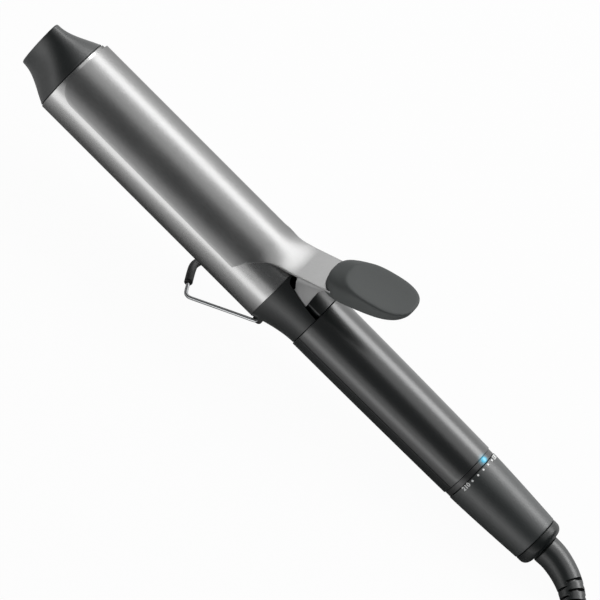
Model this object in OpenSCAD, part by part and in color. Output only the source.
// Curling iron with a spring clamp, a folding wire stand and a turning heat dial.
// The pieces are drawn in the iron's own frame: +X runs along the axis towards the cord,
// x = 0 is the rear end of the barrel and +Z is the side of the clamp. place() then sets
// the iron down on its stand and its end cap, tip raised, on the table at z = 0.

/* [Barrel] */
// Outer diameter of the heated barrel
barrel_d = 38; // [34:0.5:40]
// Length of the barrel
barrel_len = 130.4; // [120:1:160]
// Wall of the barrel tube
barrel_wall = 1; // [0.8:0.1:1.4]

/* [Tip] */
// Length of the cool tip
tip_len = 20.4; // [18:0.4:28]
// Height of the oval end of the tip
tip_end_h = 30; // [26:0.5:32]
// Width of the oval end of the tip
tip_end_w = 16; // [12:0.5:22]
// Wall of the tip
tip_wall = 2; // [1.4:0.1:2.6]

/* [Heater] */
// Length of the two heat spreader halves
spreader_len = 102; // [80:1:110]
// Wall of a spreader half
spreader_wall = 1.6; // [1.2:0.1:2.2]
// Length of the heating element
ptc_len = 80; // [50:1:95]
// Width of the heating element
ptc_w = 15; // [10:0.5:16]
// Thickness of the heating element
ptc_t = 4.5; // [3:0.1:5]

/* [Clamp] */
// Thickness of the clamp's sheet
plate_t = 1; // [0.8:0.1:1.2]
// Gap between barrel and clamp
plate_gap = 0.3; // [0.25:0.05:0.6]
// Bare barrel ahead of the clamp
plate_setback = 1.6; // [1:0.1:6]
// Angle that the clamp covers to either side of its top
plate_wrap = 66; // [60:1:72]
// Radius of the clamp's front corners
plate_corner_r = 8.5; // [5:0.5:12]
// Distance from the barrel's rear end to where the clamp starts to narrow
shoulder_at = 20.6; // [19:0.2:26]
// Length over which the clamp narrows to its neck
shoulder_len = 16; // [13:0.5:17]
// Width of the neck
neck_w = 20.2; // [17:0.2:20.6]
// Width of the neck at its narrowest place
neck_waist = 20.4; // [15:0.2:21]
// Rise of the neck in degrees
neck_slope = 28; // [26:0.5:30]
// Radius of the bend where the neck rises
neck_bend_r = 30; // [26:1:34]
// Length of the neck's tongue that reaches into the thumb pad
tongue_len = 11; // [9:0.5:12]

/* [Hinge] */
// Distance of the hinge pin behind the barrel's rear end
pin_x = 10; // [9:0.2:11]
// Height of the hinge pin above the axis
pin_z = 6.5; // [5.5:0.1:7]
// Diameter of the hinge pin
pin_d = 3; // [2.4:0.1:3.6]
// Thickness of the bracket's side flanges
flange_t = 1.2; // [1:0.1:1.4]
// Radius of the flanges round the pin
eye_r = 4.4; // [3.6:0.1:4.8]
// Wire diameter of the clamp spring
spring_wire = 1.1; // [0.8:0.1:1.2]

/* [Thumb pad] */
// Width of the thumb pad
pad_w = 24; // [21:0.2:26]
// Length of the thumb pad
pad_len = 37.8; // [36:0.2:44]

/* [Collar] */
// Length of the flared collar
collar_len = 22; // [21.5:0.1:23]
// Width of the slot in the collar's top
slot_w = 18.9; // [18.8:0.05:19.4]
// Width of the boss between the two flanges
boss_w = 14.8; // [14:0.1:15]

/* [Handle] */
// Length of the main handle
handle_len = 94.5; // [90:0.5:120]
// Handle diameter at its front
handle_front_d = 29.6; // [29:0.1:32]
// Handle diameter at its rear
handle_rear_d = 27.8; // [27.4:0.1:29]
// Wall of the handle shells
shell_wall = 2; // [1.6:0.1:2.2]
// Length of the circuit board
board_len = 69; // [50:1:70]

/* [Dial] */
// Width of the indicator ring
ring_len = 2.7; // [2.6:0.1:4]
// Diameter of the indicator ring
ring_d = 27; // [26:0.1:27.4]
// Length of the turning dial sleeve
dial_len = 40.2; // [38:0.5:60]
// Dial diameter at its front
dial_front_d = 27.6; // [27.4:0.1:29]
// Dial diameter at its rear
dial_rear_d = 23.6; // [23.2:0.1:26]
// Outer diameter of the tube that the dial turns on
tail_d = 20.7; // [20:0.1:21]
// Bore of that tube
tail_bore = 16.8; // [16:0.1:17.4]

/* [End cap] */
// Length of the end cap
cap_len = 5.5; // [5:0.1:9]
// Diameter of the end cap
cap_d = 23.4; // [23:0.1:25]
// Rounding of the end cap's rim
cap_round = 3.5; // [2.5:0.1:4]

/* [Stand] */
// Distance of the stand's pivots behind the barrel's rear end
stand_x = 3.7; // [3.4:0.1:4.4]
// Depth of the stand's pivots below the axis
stand_drop = 11.7; // [11.6:0.1:12.4]
// Half the distance between the stand's legs at the pivots
stand_half = 15.4; // [15.2:0.1:15.8]
// Half the distance between the stand's outer corners
stand_corner = 19.9; // [18.5:0.1:21]
// Length of the stand's legs, along the stand's middle line
stand_leg = 34.6; // [32:0.2:40]
// How far the middle of the bar stands out past the corners
stand_bow = 8; // [7:0.1:11]
// Angle of the opened stand below the axis
stand_angle = 29.7; // [28:0.1:31]
// Diameter of the stand's wire
wire_d = 1.7; // [1.4:0.1:2]
// Diameter of the sleeve on the bar
sleeve_d = 3.9; // [3:0.1:4.2]
// Width that the sleeve covers
sleeve_w = 24; // [16:0.2:26]

/* [Cord] */
// Diameter of the cord
cord_d = 6.5; // [6:0.1:7]
// Diameter of the strain relief where it leaves the end cap
boot_d = 14; // [12:0.1:14.6]
// Diameter of the strain relief at its end
boot_end_d = 8.6; // [8:0.1:10]
// Radius of the stored coil at the middle of its turns
coil_r = 34.5; // [33:0.5:37]
// Width of the tie round the coil
tie_w = 12; // [8:0.5:16]
// Length of the plug's body
plug_len = 36; // [32:0.5:40]
// Width of the plug's body at its pins
plug_w = 35; // [34:0.5:36]
// Thickness of the plug's body
plug_t = 14; // [13:0.2:15]
// Diameter of a plug pin
plug_pin_d = 4; // [4:0.1:4.8]
// Length of a plug pin
plug_pin_len = 19; // [18:0.5:20]
// Distance between the plug pins
plug_pitch = 19; // [18:0.5:20]

/* [Fits] */
// Radial clearance of the running fits
run_fit = 0.05; // [0.02:0.01:0.1]
// Clearance round pieces that are fixed in one another
fix_fit = 0.08; // [0.04:0.01:0.12]
// Gap between faces that move past each other
move_gap = 0.3; // [0.25:0.05:0.4]

/* [Hidden] */
$fn = 64;
eps = 0.01;

// Radii and stations along the axis
barrel_r = barrel_d / 2;
barrel_in = barrel_r - barrel_wall;
tip_x = -barrel_len;
tip_end_x = tip_x - tip_len;
plug_depth = 8;
handle_x = collar_len;
ring_x = handle_x + handle_len;
dial_x = ring_x + ring_len;
cap_x = dial_x + dial_len;
end_x = cap_x + cap_len;
tail_r = tail_d / 2;
tail_in = tail_bore / 2;
handle_bulge = 1.6;
dial_bulge = 1.3;
collar_bulge = 1.7;
collar_front_r = barrel_r + 0.2;
collar_rear_r = handle_front_d / 2 - 0.45;
lip = 0.5;

// Clamp sheet
plate_r = barrel_r + plate_gap + plate_t;
plate_x = tip_x + plate_setback;
shoulder_x = -shoulder_at;
waist_x = shoulder_x + shoulder_len;
shoulder_power = 2.3;
flat_x = shoulder_x + 2.6;
neck_x = 2;
wrap_w = plate_r * plate_wrap * PI / 180;
bend_run = neck_bend_r * tan(neck_slope / 2);
bend_mid = neck_x - 0.2 - bend_run * cos(neck_slope);
bend_x = bend_mid - bend_run;
bend_end = bend_mid + bend_run * cos(neck_slope);
plate_drop = plate_t / cos(neck_slope);

// Thumb pad, whose faces follow lines that start from the neck's height at the pin
pad_x = pin_x + 0.7;
pad_z = neck_top(pin_x);
pad_top_rise = 0.39;
pad_mid_rise = 0.43;
pad_low_rise = 0.65;
pad_top_z = pad_z + 17.9;
pad_mid_z = pad_z + 14;
pad_low_z = pad_z + 8.9;
pad_ref = pin_x + 20.4;
tongue_x = pad_ref - 8 + tongue_len;
rivet_r = 1.5;
rivet_at = [pad_ref - 7.5, pad_ref - 1.5];

// Hinge block and bracket
pin_r = pin_d / 2;
pin_half = boss_w / 2 + 5.4;
bore_x = 8;
collar_bore = handle_front_d / 2 - 2.6;
block_rear = collar_len + 5;
roof_z = handle_front_d / 2 - 0.2;
slot_floor = pin_z - eye_r - 1.6;
slot_front = 0.8;
flange_inset = 1.1;
flange_out = neck_w / 2 - flange_inset;
web_t = 1.4;
bracket_front = neck_x + 0.5;
bracket_rear = pin_x + 7;
spring_r = pin_r + spring_wire / 2 + 0.8;
spring_turns = 5;
spring_pitch = spring_wire + 0.2;
spring_half = spring_turns * spring_pitch / 2;
pocket_r = spring_r + spring_wire / 2 + 1.2;
wire_bore_z = -6;
wire_bore_r = 3.5;
lead_r = 0.9;
lead_apart = 3;
lead_close = 2;
lead_wide = 5.6;

// Handle inside
screw_at = [handle_x + 8.5, ring_x - 8];
screw_boss_r = 3.2;
screw_r = 1.4;
head_r = 2.5;
head_z = -8;
board_x = handle_x + 12.5;
board_w = 20;
board_t = 1.6;
board_z = -1.4;
flange_x = ring_x - 4.5;
flange_len = 3;

// Dial inside
dial_gap_x = dial_x + move_gap;
dial_end_x = cap_x - move_gap;
dial_bore = tail_r + run_fit;
dial_room = dial_front_d / 2 - 1.2;
dial_room_end = dial_x + 5.8;
selector_x = dial_x + 1.2;
selector_t = 1;
groove_x = cap_x - 9;
groove_w = 2;

// Cord swivel
spool_flange_x = cap_x - 9.4;
spool_flange_r = tail_in - 1.2;
spool_flange_t = 2;
spool_neck_r = tail_in - 3.4;
spool_core_r = 4.4;
spool_x = spool_flange_x - 10.4;
slip_r = 5.6;
slip_w = 2;
slip_at = [spool_x + 1.4, spool_x + 5.9];
boot_x = end_x + move_gap;
cap_plug_x = spool_flange_x + spool_flange_t + move_gap;

// Stand
sleeve_r = sleeve_d / 2;
wire_r = wire_d / 2;
bar_reach = stand_leg + stand_bow;
bow_soft = 2.5;
bend_at = 3;
stub_in = 10.4;
stub_hole = 0.4;
nail_r = 1.05;
nail_t = 0.2;
sleeve_fit = 0.12;
lug_r = 2.3;
lug_out = stand_half - nail_t - move_gap - 0.3;

// The iron rests on the sleeve and on the end cap's rim
bar_x = stand_x - bar_reach * cos(stand_angle);
bar_z = -stand_drop - bar_reach * sin(stand_angle);
rim_x = end_x - cap_round;
rim_z = cap_round - cap_d / 2;
rest_span = norm([rim_x - bar_x, rim_z - bar_z]);
tilt = asin((sleeve_r - cap_round) / rest_span) - atan2(bar_z - rim_z, rim_x - bar_x);
rest_h = sleeve_r + bar_x * sin(tilt) - bar_z * cos(tilt);
low_x = tip_end_x * cos(tilt) - tip_end_h / 2 * sin(tilt);
high_x = rim_x * cos(tilt) - rim_z * sin(tilt) + cap_round;
shift_x = -(low_x + high_x) / 2;

// Where the strain relief starts, in the table's frame. The routes below are measured
// from under this point, with their heights above the table.
exit_x = shift_x + boot_x * cos(tilt);
exit_z = rest_h - boot_x * sin(tilt);
boot_route = [
  [12.8, -1.7, -1.6], [18.9, -4.6, -2.5], [23.9, -8.4, -3.4],
  [28, -12.6, -4.3], [32, -16, -5], [36, -19.4, -5.6], [43.6, -25.9, -6.7]
];
cord_route = [
  [43.6, -25.9, 4.5], [54.1, -32.3, 4.1], [66.1, -35.9, 3.9], [78.5, -37.6, 3.9]
];

// Coil of four layers, two turns wide. The lead leaves its top turn for the plug that lies on
// it. Its route is measured from the coil's centre, with its share of the climb as the height.
coil_centre = [81.8, 0];
coil_lift = 0.6;
coil_h = 4 * cord_d;
coil_half = cord_d;
tie_t = 0.6;
tie_room = 0.8;
tie_angle = 12;
lead_route = [
  [27.1, 15.6, 0.02], [20.1, 23.9, 0.1], [10.7, 29.4, 0.27], [0, 31.3, 0.48], [-10.7, 29.4, 0.69],
  [-20.1, 23.9, 0.87], [-27.1, 15.6, 0.97], [-30.2, 7.1, 1], [-30.2, -1.9, 1], [-27.1, -10.4, 1],
  [-21.3, -17.3, 1], [-13.4, -21.8, 1], [-4.5, -23.4, 1]
];
lead_end = lead_route[len(lead_route) - 1];
lead_low = coil_lift + coil_h - cord_d / 2;
plug_z = coil_lift + coil_h + plug_t / 2 + fix_fit;
plug_x = exit_x + coil_centre[0] + lead_end[0];
plug_y = coil_centre[1] + lead_end[1];
plug_sleeve = 12;
plug_waist = 13;

// ---- Shared shapes ----

// Sets a piece from the iron's own frame down on the table
module place() {
  translate([shift_x, 0, rest_h])
    rotate([0, tilt, 0])
      children();
}

// A solid turned about the iron's axis from [radius, station] points
module turned(points) {
  rotate([0, 90, 0])
    rotate_extrude()
      polygon(points);
}

// A round bar along the axis
module bar(r, x0, x1) {
  translate([x0, 0, 0])
    rotate([0, 90, 0])
      cylinder(r = r, h = x1 - x0);
}

// A ring along the axis
module ring(r_out, r_in, x0, x1) {
  difference() {
    bar(r_out, x0, x1);
    bar(r_in, x0 - 1, x1 + 1);
  }
}

// A box from its lowest to its highest corner
module block(low, high) {
  translate(low)
    cube(high - low);
}

// A round bar across the iron, along Y
module cross_bar(r, x, z, y0, y1) {
  translate([x, y1, z])
    rotate([90, 0, 0])
      cylinder(r = r, h = y1 - y0);
}

// A round bar on one side of the iron, from near its middle outwards
module side_bar(side, r, x, z, near, far) {
  cross_bar(r, x, z, side < 0 ? -far : near, side < 0 ? -near : far);
}

// A flat profile in X and Z with a thickness along Y
module side_plate(y0, y1) {
  translate([0, y1, 0])
    rotate([90, 0, 0])
      linear_extrude(y1 - y0)
        children();
}

// A profile in Y and Z with a length along X
module along(x0, x1) {
  translate([x0, 0, 0])
    rotate([90, 0, 90])
      linear_extrude(x1 - x0)
        children();
}

// A closed skin over rings that have equally many points
module skin(rings) {
  n = len(rings[0]);
  m = len(rings);
  points = [for (r = rings) each r];
  sides = [
    for (i = [0:m - 2], j = [0:n - 1])
      let (a = i * n + j, b = i * n + (j + 1) % n)
        each [[a, b + n, b], [a, a + n, b + n]]
  ];
  first = [for (j = [0:n - 1]) j];
  last = [for (j = [0:n - 1]) m * n - 1 - j];
  polyhedron(points, concat([first], sides, [last]), convexity = 8);
}

function unit(v) = v / norm(v);
function smooth(u) = u <= 0 ? 0 : u >= 1 ? 1 : u * u * (3 - 2 * u);
function tangent(path, i) = unit(path[min(i + 1, len(path) - 1)] - path[max(i - 1, 0)]);

// Rings round the points of a path, with one radius for each point
function tube_rings(path, radii, count, up) = [
  for (i = [0:len(path) - 1])
    let (t = tangent(path, i), across = unit(cross(t, up)), top = cross(t, across))
      [
        for (k = [0:count - 1])
          path[i] + radii[i] * (cos(360 * k / count) * across + sin(360 * k / count) * top)
      ]
];

// A tube of one radius along a path
module tube(path, r, count, up) {
  skin(tube_rings(path, [for (p = path) r], count, up));
}

// Outer radii along the axis
function handle_r(x) = handle_front_d / 2
  - (handle_front_d - handle_rear_d) / 2 * pow(max(0, x - handle_x) / handle_len, handle_bulge);
function dial_r(x) = dial_front_d / 2
  - (dial_front_d - dial_rear_d) / 2 * pow(max(0, x - dial_x) / dial_len, dial_bulge);
function collar_r(x) = collar_rear_r
  + (collar_front_r - collar_rear_r) * pow(max(0, 1 - x / collar_len), collar_bulge);

// Height of the clamp's outer face on its middle line
function neck_top(x) = x <= bend_x ? plate_r
  : x <= bend_end ? plate_r + neck_bend_r - sqrt(pow(neck_bend_r, 2) - pow(x - bend_x, 2))
  : plate_r + (x - bend_mid) * tan(neck_slope);
function neck_under(x) = neck_top(x) - plate_drop;

// ---- Barrel and heater ----

module barrel_tube() {
  color([0.55, 0.55, 0.55])
    place()
      ring(barrel_r, barrel_in, tip_x, 0);
}

// Tip section t of the way from the barrel to the end, round at first and oval at last
function tip_ring(t, inset, x) =
  let (
    f = t + 1.2 * t * t * (1 - t),
    foot = barrel_r - 0.3,
    hz = foot + (tip_end_h / 2 - foot) * f - inset,
    hy = foot + (tip_end_w / 2 - foot) * f - inset
  )
    [for (k = [0:47]) [x, hy * cos(7.5 * k), hz * sin(7.5 * k)]];

module tip_cap() {
  color([0.12, 0.13, 0.13])
    place()
      difference() {
        skin(concat(
          [tip_ring(1, 0.8, tip_end_x), tip_ring(1, 0.25, tip_end_x + 0.3), tip_ring(0.97, 0, tip_end_x + 1)],
          [for (i = [8:-1:0]) tip_ring(i / 9, 0, tip_x - tip_len * i / 9)]
        ));
        skin([for (i = [8:-1:0]) tip_ring(i / 9, tip_wall, tip_x + 1 - (tip_len - tip_wall) * i / 9)]);
      }
}

module tip_plug() {
  plug_r = barrel_in - fix_fit;
  color([0.2, 0.2, 0.2])
    place()
      turned([
        [0, tip_x + plug_depth], [plug_r, tip_x + plug_depth], [plug_r, tip_x],
        [plug_r - 2, tip_x], [plug_r - 2, tip_x + plug_depth - 2], [0, tip_x + plug_depth - 2]
      ]);
}

spreader_x = tip_x + 14.4;
spreader_r = barrel_in - 0.1;
spreader_gap = 2.9;
spreader_bar = 2.2;
spreader_half_bar = 9;

// Section of one spreader half, above the heater
module spreader_section() {
  intersection() {
    difference() {
      circle(spreader_r);
      circle(spreader_r - spreader_wall);
    }
    translate([-spreader_r, spreader_gap])
      square([2 * spreader_r, spreader_r]);
  }
  translate([-spreader_half_bar, ptc_t / 2])
    square([2 * spreader_half_bar, spreader_bar]);
  intersection() {
    circle(spreader_r - spreader_wall / 2);
    for (side = [-1, 1])
      translate([side * (spreader_half_bar - spreader_wall / 2) - spreader_wall / 2, ptc_t / 2])
        square([spreader_wall, spreader_r]);
  }
}

module spreader_upper() {
  color([0.75, 0.75, 0.76])
    place()
      along(spreader_x, spreader_x + spreader_len)
        spreader_section();
}

module spreader_lower() {
  color([0.75, 0.75, 0.76])
    place()
      along(spreader_x, spreader_x + spreader_len)
        mirror([0, 1])
          spreader_section();
}

ptc_x = spreader_x + (spreader_len - ptc_len) / 2;

module ptc_heater() {
  color([0.75, 0.5, 0.2])
    place()
      block([ptc_x, -ptc_w / 2, -ptc_t / 2], [ptc_x + ptc_len, ptc_w / 2, ptc_t / 2]);
}

// Two sprung strips that stand between the halves and press them against the barrel
module spreader_springs() {
  strip_y = spreader_r - spreader_wall;
  color([0.8, 0.8, 0.82])
    place()
      for (side = [-1, 1])
        along(spreader_x + 4, spreader_x + spreader_len - 4)
          translate([side * strip_y - 0.3, -spreader_gap])
            square([0.6, 2 * spreader_gap]);
}

thermistor_r = 0.9;

module thermistor() {
  color([0.2, 0.5, 0.3])
    place()
      translate([ptc_x + ptc_len / 2, 0, ptc_t / 2 + spreader_bar + thermistor_r + eps])
        bar(thermistor_r, -2.5, 2.5);
}

fuse_r = 1.6;

module thermal_fuse() {
  color([0.85, 0.85, 0.85])
    place()
      translate([ptc_x + ptc_len / 2, 0, -ptc_t / 2 - spreader_bar - fuse_r - eps])
        bar(fuse_r, -5, 5);
}

// Insulating ring that plugs into the barrel's rear end and into the collar's bore
module barrel_mount() {
  front_r = barrel_in - fix_fit;
  rear_r = collar_bore - fix_fit;
  color([0.3, 0.3, 0.3])
    place()
      difference() {
        turned([
          [rear_r - 3, -8], [front_r, -8], [front_r, -eps], [rear_r, -eps],
          [rear_r, bore_x], [rear_r - 3, bore_x]
        ]);
        slot_cuts(0.2);
      }
}

// ---- Collar and hinge ----

// Room for the bracket's flanges and for the top of the boss
module slot_cuts(extra) {
  block([slot_front, -slot_w / 2, slot_floor - extra], [collar_len + 1, slot_w / 2, barrel_d]);
}

collar_steps = 10;

module collar() {
  color([0.12, 0.13, 0.13])
    place()
      difference() {
        union() {
          turned(concat(
            [for (i = [0:collar_steps]) let (x = collar_len * i / collar_steps) [collar_r(x), x]],
            [[collar_bore, collar_len], [collar_bore, 0]]
          ));
          for (side = [-1, 1])
            side_bar(side, lug_r, stand_x, -stand_drop, stub_in, lug_out);
        }
        slot_cuts(0);
        cross_bar(pin_r + fix_fit, pin_x, pin_z, -pin_half - fix_fit, pin_half + fix_fit);
        for (side = [-1, 1])
          cross_bar(wire_r + run_fit, stand_x, -stand_drop,
            min(side * (stub_in - stub_hole), side * (stand_half + 1)),
            max(side * (stub_in - stub_hole), side * (stand_half + 1)));
      }
}

// Fixed in the collar's bore and in the handle: it carries the pin and houses the spring
module hinge_block() {
  color([0.16, 0.17, 0.17])
    place()
      difference() {
        union() {
          bar(collar_bore - fix_fit, bore_x + eps, collar_len);
          bar(handle_r(block_rear) - shell_wall - 2 * fix_fit, collar_len, block_rear);
          intersection() {
            block([slot_front + 2.6, -boss_w / 2, slot_floor], [collar_len - fix_fit, boss_w / 2, roof_z]);
            bar(roof_z, 0, collar_len);
          }
        }
        for (side = [-1, 1])
          block([0, min(side * boss_w / 2, side * barrel_d), slot_floor],
            [collar_len - eps, max(side * boss_w / 2, side * barrel_d), barrel_d]);
        block(
          [0, -spring_half - 0.8, pin_z - pocket_r],
          [pin_x + pocket_r, spring_half + 0.8, pin_z + pocket_r]
        );
        translate([0, 0, wire_bore_z])
          bar(wire_bore_r, 0, block_rear + 1);
        cross_bar(pin_r + fix_fit, pin_x, pin_z, -pin_half, pin_half);
      }
}

module hinge_pin() {
  color([0.8, 0.8, 0.8])
    place()
      cross_bar(pin_r, pin_x, pin_z, -pin_half, pin_half);
}

// Torsion spring round the pin: one leg under the neck, one on the pocket's floor
module clamp_spring() {
  per_turn = 10;
  steps = spring_turns * per_turn;
  wind = [
    for (i = [0:steps])
      let (a = 90 - 360 * i / per_turn)
        [pin_x + spring_r * cos(a), spring_half - spring_pitch * i / per_turn, pin_z + spring_r * sin(a)]
  ];
  leg_x = slot_front + spring_wire;
  leg_z = neck_under(leg_x) - spring_wire;
  upper_leg = [
    [leg_x, spring_half, leg_z],
    [leg_x, spring_half, pin_z + spring_r + 3],
    [leg_x + 1.4, spring_half, pin_z + spring_r + 0.8],
    [pin_x - 3, spring_half, pin_z + spring_r + 0.1]
  ];
  lower_leg = [
    [pin_x + 3, -spring_half, pin_z + spring_r + 0.05],
    [pin_x + pocket_r - 0.7, -spring_half, pin_z + spring_r]
  ];
  color([0.7, 0.7, 0.7])
    place()
      tube(concat(upper_leg, wind, lower_leg), spring_wire / 2, 6, [0.02, 1, 0.01]);
}

// ---- Clamp ----

// Half of the sheet's width at station x, measured along its section
function plate_w(x) =
  x < plate_x + plate_corner_r
    ? wrap_w - plate_corner_r + sqrt(max(0, pow(plate_corner_r, 2) - pow(plate_corner_r - (x - plate_x), 2)))
    : x < waist_x
      ? neck_waist / 2 + (wrap_w - neck_waist / 2) * pow(min(1, (waist_x - x) / shoulder_len), shoulder_power)
      : neck_waist / 2 + (neck_w - neck_waist) / 2 * smooth((x - waist_x) / (neck_x - waist_x));

// The sheet is curved like the barrel at first and flat along the neck
function plate_curve(x) = max(1 - smooth((x - flat_x) / (neck_x - flat_x)), 0.0005) / plate_r;

function plate_ring(x, w) =
  let (c = plate_curve(x), r = 1 / c, n = 16, z = neck_top(x), drop = x > bend_x ? plate_drop : plate_t)
    concat(
      [for (j = [0:n]) let (a = w * (1 - 2 * j / n) / r * 180 / PI)
        [x, (r - plate_t) * sin(a), z - drop - (r - plate_t) * (1 - cos(a))]],
      [for (j = [n:-1:0]) let (a = w * (1 - 2 * j / n) / r * 180 / PI)
        [x, r * sin(a), z - r * (1 - cos(a))]]
    );

module clamp_plate() {
  neck = [pin_x, neck_x, waist_x + 5, waist_x + 2.5];
  shoulder = [for (i = [12:-1:0]) shoulder_x + shoulder_len * i / 12];
  corner = [for (a = [90:-15:0]) plate_x + plate_corner_r * (1 - cos(a))];
  stations = concat(neck, shoulder, [shoulder_x - 40], corner);
  color([0.6, 0.6, 0.6])
    place()
      difference() {
        skin(concat(
          [plate_ring(tongue_x, neck_w / 2 - 2), plate_ring(tongue_x - 2, neck_w / 2)],
          [for (x = stations) plate_ring(x, plate_w(x))]
        ));
        rivet_bars(rivet_r + fix_fit, -20, 30);
      }
}

// The bracket is welded to the neck's underside
function bracket_top(x) = neck_under(x) - eps;

// Bent bracket under the neck, whose side flanges turn on the pin
module clamp_bracket() {
  front = bracket_front;
  rear = bracket_rear;
  color([0.66, 0.66, 0.66])
    place() {
      for (side = [-1, 1])
        side_plate(
          side < 0 ? -flange_out : flange_out - flange_t,
          side < 0 ? flange_t - flange_out : flange_out
        )
          difference() {
            union() {
              polygon([
                [front, bracket_top(front)], [rear, bracket_top(rear)],
                [pin_x + 4.6, bracket_top(rear) - 3.2], [pin_x + 3.6, bracket_top(rear) - 6.4],
                [pin_x + 3.5, pin_z + 14], [pin_x + eye_r * cos(8), pin_z + eye_r * sin(8)],
                [pin_x - eye_r * cos(8), pin_z + eye_r * sin(8)], [front + 3.2, pin_z + 9]
              ]);
              translate([pin_x, pin_z])
                circle(eye_r);
            }
            translate([pin_x, pin_z])
              circle(pin_r + run_fit);
          }
      side_plate(flange_t - flange_out, flange_out - flange_t)
        polygon([
          [front, bracket_top(front)], [rear - 1, bracket_top(rear - 1)],
          [rear - 1, bracket_top(rear - 1) - web_t], [front, bracket_top(front) - web_t]
        ]);
    }
}

// Outline of the pad on a sloping plane, from station x0 to x1
function pad_ring(x0, x1, half, power, z, rise) = [
  for (k = [0:39])
    let (
      c = cos(9 * k),
      s = sin(9 * k),
      x = (x0 + x1) / 2 + (x1 - x0) / 2 * sign(c) * pow(abs(c), 2 / power),
      y = half * sign(s) * pow(abs(s), 2 / power)
    )
      [x, y, z + rise * (x - pad_ref)]
];

module pad_form() {
  w = pad_w / 2;
  end = pad_x + pad_len;
  skin([
    pad_ring(pad_x + 3.4, end - 1.4, w - 1.2, 3, pad_low_z - 0.4, pad_low_rise),
    pad_ring(pad_x + 2.2, end - 0.8, w - 0.4, 3, pad_low_z + 0.4, pad_low_rise),
    pad_ring(pad_x, end, w, 2.8, pad_mid_z, pad_mid_rise),
    pad_ring(pad_x + 4.6, end - 0.2, w - 0.1, 2.6, pad_top_z - 1.2, pad_top_rise),
    pad_ring(pad_x + 6, end - 0.9, w - 0.8, 2.6, pad_top_z - 0.2, pad_top_rise)
  ]);
}

module rivet_bars(r, low, high) {
  for (x = rivet_at)
    translate([x, 0, neck_top(x) + low])
      cylinder(r = r, h = high - low);
}

module thumb_pad() {
  color([0.27, 0.29, 0.29])
    place()
      difference() {
        pad_form();
        side_plate(-neck_w / 2 - fix_fit, neck_w / 2 + fix_fit)
          polygon([
            [pin_x - 4, neck_under(pin_x - 4) - fix_fit],
            [tongue_x + fix_fit, neck_under(tongue_x) - fix_fit],
            [tongue_x + fix_fit, neck_top(tongue_x) + fix_fit],
            [pin_x - 4, neck_top(pin_x - 4) + fix_fit]
          ]);
        block(
          [0, -neck_w / 2 - move_gap, 0],
          [bracket_rear + move_gap, neck_w / 2 + move_gap, neck_under(bracket_rear) + fix_fit]
        );
        rivet_bars(rivet_r + fix_fit, -12, 4 + fix_fit);
      }
}

module pad_rivets() {
  color([0.5, 0.5, 0.5])
    place()
      rivet_bars(rivet_r, -3, 4);
}

// ---- Handle ----

handle_steps = 8;

// The handle's outer form, made smaller by inset
module handle_form(inset, x0, x1) {
  turned(concat(
    [[0, x0]],
    [for (i = [0:handle_steps]) let (x = x0 + (x1 - x0) * i / handle_steps) [handle_r(x) - inset, x]],
    [[0, x1]]
  ));
}

module shell_half(side) {
  far = 2 * barrel_r;
  difference() {
    union() {
      difference() {
        handle_form(0, handle_x, ring_x);
        handle_form(shell_wall, handle_x - eps, ring_x + eps);
      }
      intersection() {
        handle_form(shell_wall / 2, handle_x, ring_x);
        union() {
          for (x = screw_at)
            translate([x, 0, side > 0 ? 0 : -far])
              cylinder(r = screw_boss_r, h = far);
          if (side < 0)
            for (y = [-1, 1])
              block([board_x, y > 0 ? board_w / 2 - 1.2 : -far, board_z - board_t - 1.4],
                [board_x + board_len, y > 0 ? far : 1.2 - board_w / 2, board_z - board_t]);
        }
      }
    }
    block([0, -far, side > 0 ? -far : 0], [end_x, far, side > 0 ? 0 : far]);
    for (x = screw_at) {
      translate([x, 0, side > 0 ? -1 : -far])
        cylinder(r = side > 0 ? screw_r + fix_fit : screw_r + 0.2, h = side > 0 ? 9 : far + 1);
      if (side < 0)
        translate([x, 0, head_z - far])
          cylinder(r = head_r + 0.2, h = far);
    }
  }
}

module handle_upper_shell() {
  color([0.1, 0.11, 0.11])
    place()
      shell_half(1);
}

module handle_lower_shell() {
  color([0.08, 0.09, 0.09])
    place()
      shell_half(-1);
}

module handle_screws() {
  color([0.7, 0.7, 0.7])
    place()
      for (x = screw_at)
        translate([x, 0, 0])
          union() {
            translate([0, 0, head_z - 1.8])
              cylinder(r = head_r, h = 1.8);
            translate([0, 0, head_z - 0.5])
              cylinder(r = screw_r, h = 8 - head_z);
          }
}

module circuit_board() {
  color([0.1, 0.4, 0.2])
    place()
      block([board_x, -board_w / 2, board_z - board_t], [board_x + board_len, board_w / 2, board_z]);
}

// One component, from its corners as shares of the board's length and width
module component(low, high, height) {
  block(
    [board_x + low[0] * board_len, low[1] * board_w, board_z],
    [board_x + high[0] * board_len, high[1] * board_w, board_z + height * board_w]
  );
}

// Relay, triac, two capacitors and the controller, standing on the board
module board_parts() {
  color([0.15, 0.25, 0.5])
    place() {
      component([0.07, -0.38], [0.29, 0.15], 0.4);
      component([0.33, -0.25], [0.39, 0.25], 0.35);
      component([0.43, -0.33], [0.51, 0.33], 0.38);
      component([0.7, -0.2], [0.8, 0.2], 0.06);
      translate([board_x + 0.61 * board_len, 0, board_z])
        cylinder(r = board_w / 5, h = 0.42 * board_w);
    }
}

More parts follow.
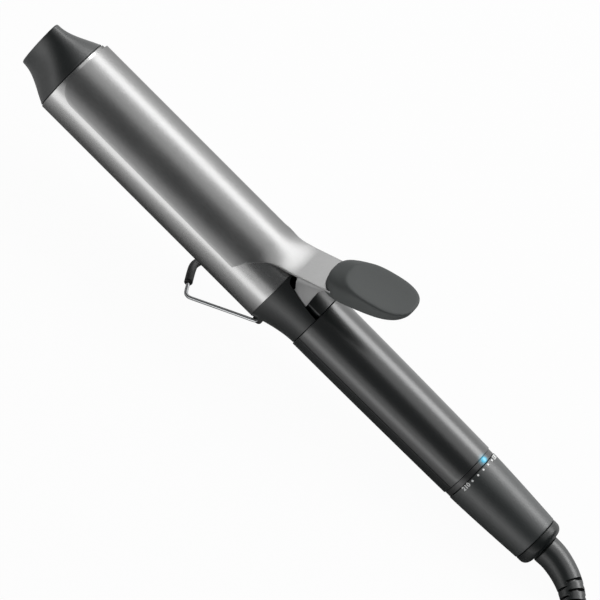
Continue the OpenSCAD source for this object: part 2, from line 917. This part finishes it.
// Two wires from the heater to the board
module heater_leads() {
  start = ptc_x + ptc_len;
  color([0.85, 0.85, 0.8])
    place()
      for (side = [-1, 1])
        tube([
          [start, side * lead_apart, 0],
          [start + 4, side * lead_apart, 0],
          [spreader_x + spreader_len + 2, side * (lead_apart - 0.4), -1.5],
          [-1, side * (lead_close + 0.2), wire_bore_z + 1],
          [bore_x - 2, side * lead_close, wire_bore_z],
          [block_rear, side * lead_close, wire_bore_z],
          [screw_at[0] - 1.6, side * (lead_wide - 1.2), wire_bore_z + 1],
          [screw_at[0] + 1.4, side * lead_wide, board_z - board_t - 1],
          [board_x - 1.4, side * lead_wide, board_z - board_t / 2],
          [board_x, side * lead_wide, board_z - board_t / 2]
        ], lead_r, 8, [0, 0, 1]);
}

// Two wires from the board to the brushes
module supply_leads() {
  y = (tail_in + slip_r + 0.4) / 2;
  color([0.3, 0.3, 0.8])
    place()
      for (side = [-1, 1])
        tube([
          [board_x + board_len, side * lead_wide, board_z - board_t / 2],
          [board_x + board_len + 2, side * lead_wide, board_z - board_t / 2],
          [flange_x, side * lead_wide, -2.4],
          [dial_x, side * (lead_wide + 0.4), -1.6],
          [spool_x - 4, side * y, 0],
          [spool_x, side * y, 0]
        ], lead_r, 8, [0, 0, 1]);
}

// ---- Dial and tail ----

lens_half_x = 1.1;
lens_half_y = 1.8;

module indicator_ring() {
  color([0.05, 0.05, 0.05])
    place()
      difference() {
        ring(ring_d / 2, tail_r + fix_fit, ring_x, dial_x);
        block([ring_x + ring_len / 2 - lens_half_x - fix_fit, -lens_half_y - fix_fit, tail_r - 1],
          [ring_x + ring_len / 2 + lens_half_x + fix_fit, lens_half_y + fix_fit, ring_d]);
      }
}

module led_lens() {
  middle = ring_x + ring_len / 2;
  color([0.3, 0.7, 1])
    place()
      intersection() {
        block(
          [middle - lens_half_x, -lens_half_y, ring_d / 2 - 1.2],
          [middle + lens_half_x, lens_half_y, ring_d]
        );
        bar(ring_d / 2 + 0.15, ring_x, dial_x);
      }
}

module led() {
  middle = ring_x + ring_len / 2;
  color([0.9, 0.9, 1])
    place()
      block([middle - 0.8, -1, tail_r], [middle + 0.8, 1, ring_d / 2 - 1.25]);
}

module tail_tube() {
  color([0.2, 0.2, 0.2])
    place()
      difference() {
        union() {
          bar(tail_r, flange_x, cap_x);
          bar(handle_r(flange_x + flange_len) - shell_wall - fix_fit, flange_x, flange_x + flange_len);
        }
        bar(tail_in, flange_x - 1, cap_x + 1);
        ring(tail_r + 1, tail_r - 0.9, groove_x, groove_x + groove_w);
      }
}

// Rubber ring that holds the dial where it is set
module friction_ring() {
  color([0.1, 0.1, 0.1])
    place()
      ring(tail_r + run_fit / 2, tail_r - 0.9 + fix_fit, groove_x + 0.1, groove_x + groove_w - 0.1);
}

module selector_board() {
  color([0.1, 0.4, 0.2])
    place()
      ring(dial_room - 0.4, tail_r + fix_fit, selector_x, selector_x + selector_t);
}

dial_steps = 8;

module dial_sleeve() {
  steps = [for (i = [0:dial_steps]) dial_gap_x + (dial_end_x - dial_gap_x) * i / dial_steps];
  color([0.17, 0.18, 0.18])
    place()
      turned(concat(
        [
          [dial_room, dial_gap_x],
          [dial_r(dial_gap_x) - lip, dial_gap_x],
          [dial_r(dial_gap_x + lip), dial_gap_x + lip]
        ],
        [for (i = [1:dial_steps]) [dial_r(steps[i]), steps[i]]],
        [[dial_bore, dial_end_x], [dial_bore, dial_room_end], [dial_room, dial_room_end]]
      ));
}

// Sprung contacts that travel with the dial over the selector board
module dial_contacts() {
  face = selector_x + selector_t + move_gap;
  color([0.8, 0.6, 0.3])
    place() {
      ring(dial_room - fix_fit, tail_r + 0.6, dial_room_end - 1.2, dial_room_end);
      for (a = [0, 120, 240])
        rotate([a, 0, 0])
          block([face, -1, tail_r + 0.8], [dial_room_end - 1.2, 1, tail_r + 1.5]);
    }
}

module end_cap() {
  centre = [cap_d / 2 - cap_round, end_x - cap_round];
  color([0.1, 0.1, 0.1])
    place()
      turned(concat(
        [[cap_d / 2, cap_x]],
        [for (a = [0:15:90]) centre + cap_round * [cos(a), sin(a)]],
        [
          [spool_neck_r + run_fit + 0.03, end_x], [spool_neck_r + run_fit + 0.03, cap_plug_x],
          [tail_in - fix_fit, cap_plug_x], [tail_in - fix_fit, cap_x]
        ]
      ));
}

// ---- Cord swivel ----

module swivel_spool() {
  color([0.25, 0.25, 0.25])
    place()
      difference() {
        union() {
          bar(spool_core_r, spool_x, spool_flange_x);
          bar(spool_flange_r, spool_flange_x, spool_flange_x + spool_flange_t);
          bar(spool_neck_r, spool_flange_x + spool_flange_t, boot_x);
        }
        bar(2, spool_x - 1, boot_x + 1);
      }
}

module slip_rings() {
  color([0.85, 0.65, 0.3])
    place()
      for (x = slip_at)
        ring(slip_r, spool_core_r + fix_fit, x, x + slip_w);
}

module brush_holder() {
  color([0.35, 0.3, 0.25])
    place()
      difference() {
        ring(tail_in - fix_fit, slip_r + 0.6, spool_x, spool_flange_x - move_gap);
        for (i = [0, 1])
          block(
            [slip_at[i] - fix_fit, i == 0 ? 0 : -tail_in, -1.5],
            [slip_at[i] + slip_w + fix_fit, i == 0 ? tail_in : 0, 1.5]
          );
      }
}

module contact_brushes() {
  color([0.3, 0.3, 0.3])
    place()
      for (i = [0, 1])
        rotate([180 * i, 0, 0])
          block([slip_at[i], slip_r + 0.15, -1.4], [slip_at[i] + slip_w, tail_in - 0.3, 1.4]);
}

module strain_relief() {
  exit = [exit_x, 0, exit_z];
  path = concat([exit, exit + 6 * [cos(tilt), 0, -sin(tilt)]], [for (p = boot_route) exit + p]);
  n = len(path) - 1;
  radii = [for (i = [0:n]) (boot_d + (boot_end_d - boot_d) * pow(i / n, 1.25)) / 2];
  rings = tube_rings(path, radii, 20, [0, 0, 1]);
  color([0.13, 0.14, 0.14])
    skin(rings);
}

// ---- Stand ----

// Distance of the bar from the pivots, v to the side of its middle
function bar_u(v) = stand_leg
  + stand_bow * (1 - (norm([v, bow_soft]) - bow_soft) / (norm([stand_corner, bow_soft]) - bow_soft));

// Points in the stand's own plane, from one pivot to the middle of the bar
function stand_half_path() =
  let (
    leg = unit([stand_leg, stand_corner - stand_half]),
    start = [0, stand_half],
    corner = [stand_leg, stand_corner],
    before = corner - bend_at * leg,
    after = [bar_u(stand_corner - bend_at), stand_corner - bend_at]
  )
    [
      start + [-0.2, 0], start + 1.6 * leg, start + 12 * leg,
      for (t = [0:0.25:1]) pow(1 - t, 2) * before + 2 * t * (1 - t) * corner + t * t * after,
      for (i = [1:7]) let (v = (stand_corner - bend_at) * (1 - i / 7)) [bar_u(v), v]
    ];

function stand_point(p) = [
  stand_x - p[0] * cos(stand_angle),
  p[1],
  -stand_drop - p[0] * sin(stand_angle)
];

function stand_path() =
  let (half = stand_half_path(), n = len(half))
    concat([for (p = half) stand_point(p)], [for (i = [n - 2:-1:0]) stand_point([half[i][0], -half[i][1]])]);

module stand_wire() {
  color([0.8, 0.8, 0.82])
    place()
      union() {
        tube(stand_path(), wire_r, 12, [sin(stand_angle), 0, -cos(stand_angle)]);
        for (side = [-1, 1]) {
          side_bar(side, wire_r, stand_x, -stand_drop, stub_in, stand_half);
          side_bar(side, nail_r, stand_x, -stand_drop, stand_half - nail_t, stand_half + wire_r);
        }
      }
}

// The bar's middle line out to a distance on either side
function bar_path(half) = [for (i = [-5:5]) let (v = -half * i / 5) stand_point([bar_u(v), v])];

module stand_sleeve() {
  up = [sin(stand_angle), 0, -cos(stand_angle)];
  color([0.1, 0.1, 0.1])
    place()
      difference() {
        tube(bar_path(sleeve_w / 2), sleeve_r, 16, up);
        tube(bar_path(sleeve_w / 2 + 2), wire_r + sleeve_fit, 12, up);
      }
}

// ---- Cord, coil and plug ----

function from_exit(route) = [for (p = route) [exit_x + p[0], p[1], p[2]]];

module cord_tube() {
  color([0.1, 0.1, 0.1])
    tube(from_exit(cord_route), cord_d / 2, 10, [0, 0, 1]);
}

// Stands for the coil's turns, as one ring
module cord_coil() {
  c = 2.4;
  inner = coil_r - coil_half;
  outer = coil_r + coil_half;
  color([0.1, 0.1, 0.1])
    translate([exit_x + coil_centre[0], coil_centre[1], coil_lift])
      rotate_extrude()
        polygon([
          [inner, c], [inner + c, 0], [outer - c, 0], [outer, c],
          [outer, coil_h - c], [outer - c, coil_h], [inner + c, coil_h], [inner, coil_h - c]
        ]);
}

// Strap round the coil's section
module cord_tie() {
  half = coil_half + tie_room;
  color([0.2, 0.2, 0.2])
    translate([exit_x + coil_centre[0], coil_centre[1], coil_lift])
      rotate([0, 0, tie_angle])
        translate([coil_r, -tie_w / 2, 0])
          difference() {
            block([-half - tie_t, 0, -coil_lift], [half + tie_t, tie_w, coil_h + tie_t]);
            block([-half, -1, 0], [half, tie_w + 1, coil_h]);
          }
}

module cord_lead() {
  route = [
    for (p = lead_route)
      [exit_x + coil_centre[0] + p[0], coil_centre[1] + p[1], lead_low + (plug_z - lead_low) * p[2]]
  ];
  color([0.1, 0.1, 0.1])
    tube(route, cord_d / 2, 10, [0, 0, 1]);
}

// Flat two-pin plug that lies on the coil and points towards +X
module plug_body() {
  face = plug_sleeve + plug_len;
  half = plug_w / 2;
  color([0.1, 0.1, 0.1])
    translate([plug_x, plug_y, plug_z])
      union() {
        bar(cord_d / 2 + 1.6, 0, plug_sleeve + 2);
        translate([0, 0, -plug_t / 2])
          linear_extrude(plug_t)
            polygon([
              [face, half - 3], [face - 3, half], [face - 14, half],
              [plug_sleeve + 8, plug_waist / 2 + 2], [plug_sleeve, plug_waist / 2],
              [plug_sleeve, -plug_waist / 2], [plug_sleeve + 8, -plug_waist / 2 - 2],
              [face - 14, -half], [face - 3, -half], [face, 3 - half]
            ]);
      }
}

module plug_pins() {
  face = plug_sleeve + plug_len;
  end = face + plug_pin_len;
  tip = 1.5;
  color([0.8, 0.8, 0.8])
    for (side = [-1, 1])
      translate([plug_x, plug_y + side * plug_pitch / 2, plug_z])
        turned([
          [0, face], [plug_pin_d / 2, face], [plug_pin_d / 2, end - tip],
          [plug_pin_d / 2 - 1, end], [0, end]
        ]);
}

barrel_tube();
tip_cap();
tip_plug();
spreader_upper();
spreader_lower();
ptc_heater();
spreader_springs();
thermistor();
thermal_fuse();
barrel_mount();
collar();
hinge_block();
hinge_pin();
clamp_spring();
clamp_plate();
clamp_bracket();
thumb_pad();
pad_rivets();
handle_upper_shell();
handle_lower_shell();
handle_screws();
circuit_board();
board_parts();
heater_leads();
supply_leads();
indicator_ring();
led_lens();
led();
tail_tube();
friction_ring();
selector_board();
dial_sleeve();
dial_contacts();
end_cap();
brush_holder();
contact_brushes();
swivel_spool();
slip_rings();
strain_relief();
stand_wire();
stand_sleeve();
cord_tube();
cord_coil();
cord_tie();
cord_lead();
plug_body();
plug_pins();
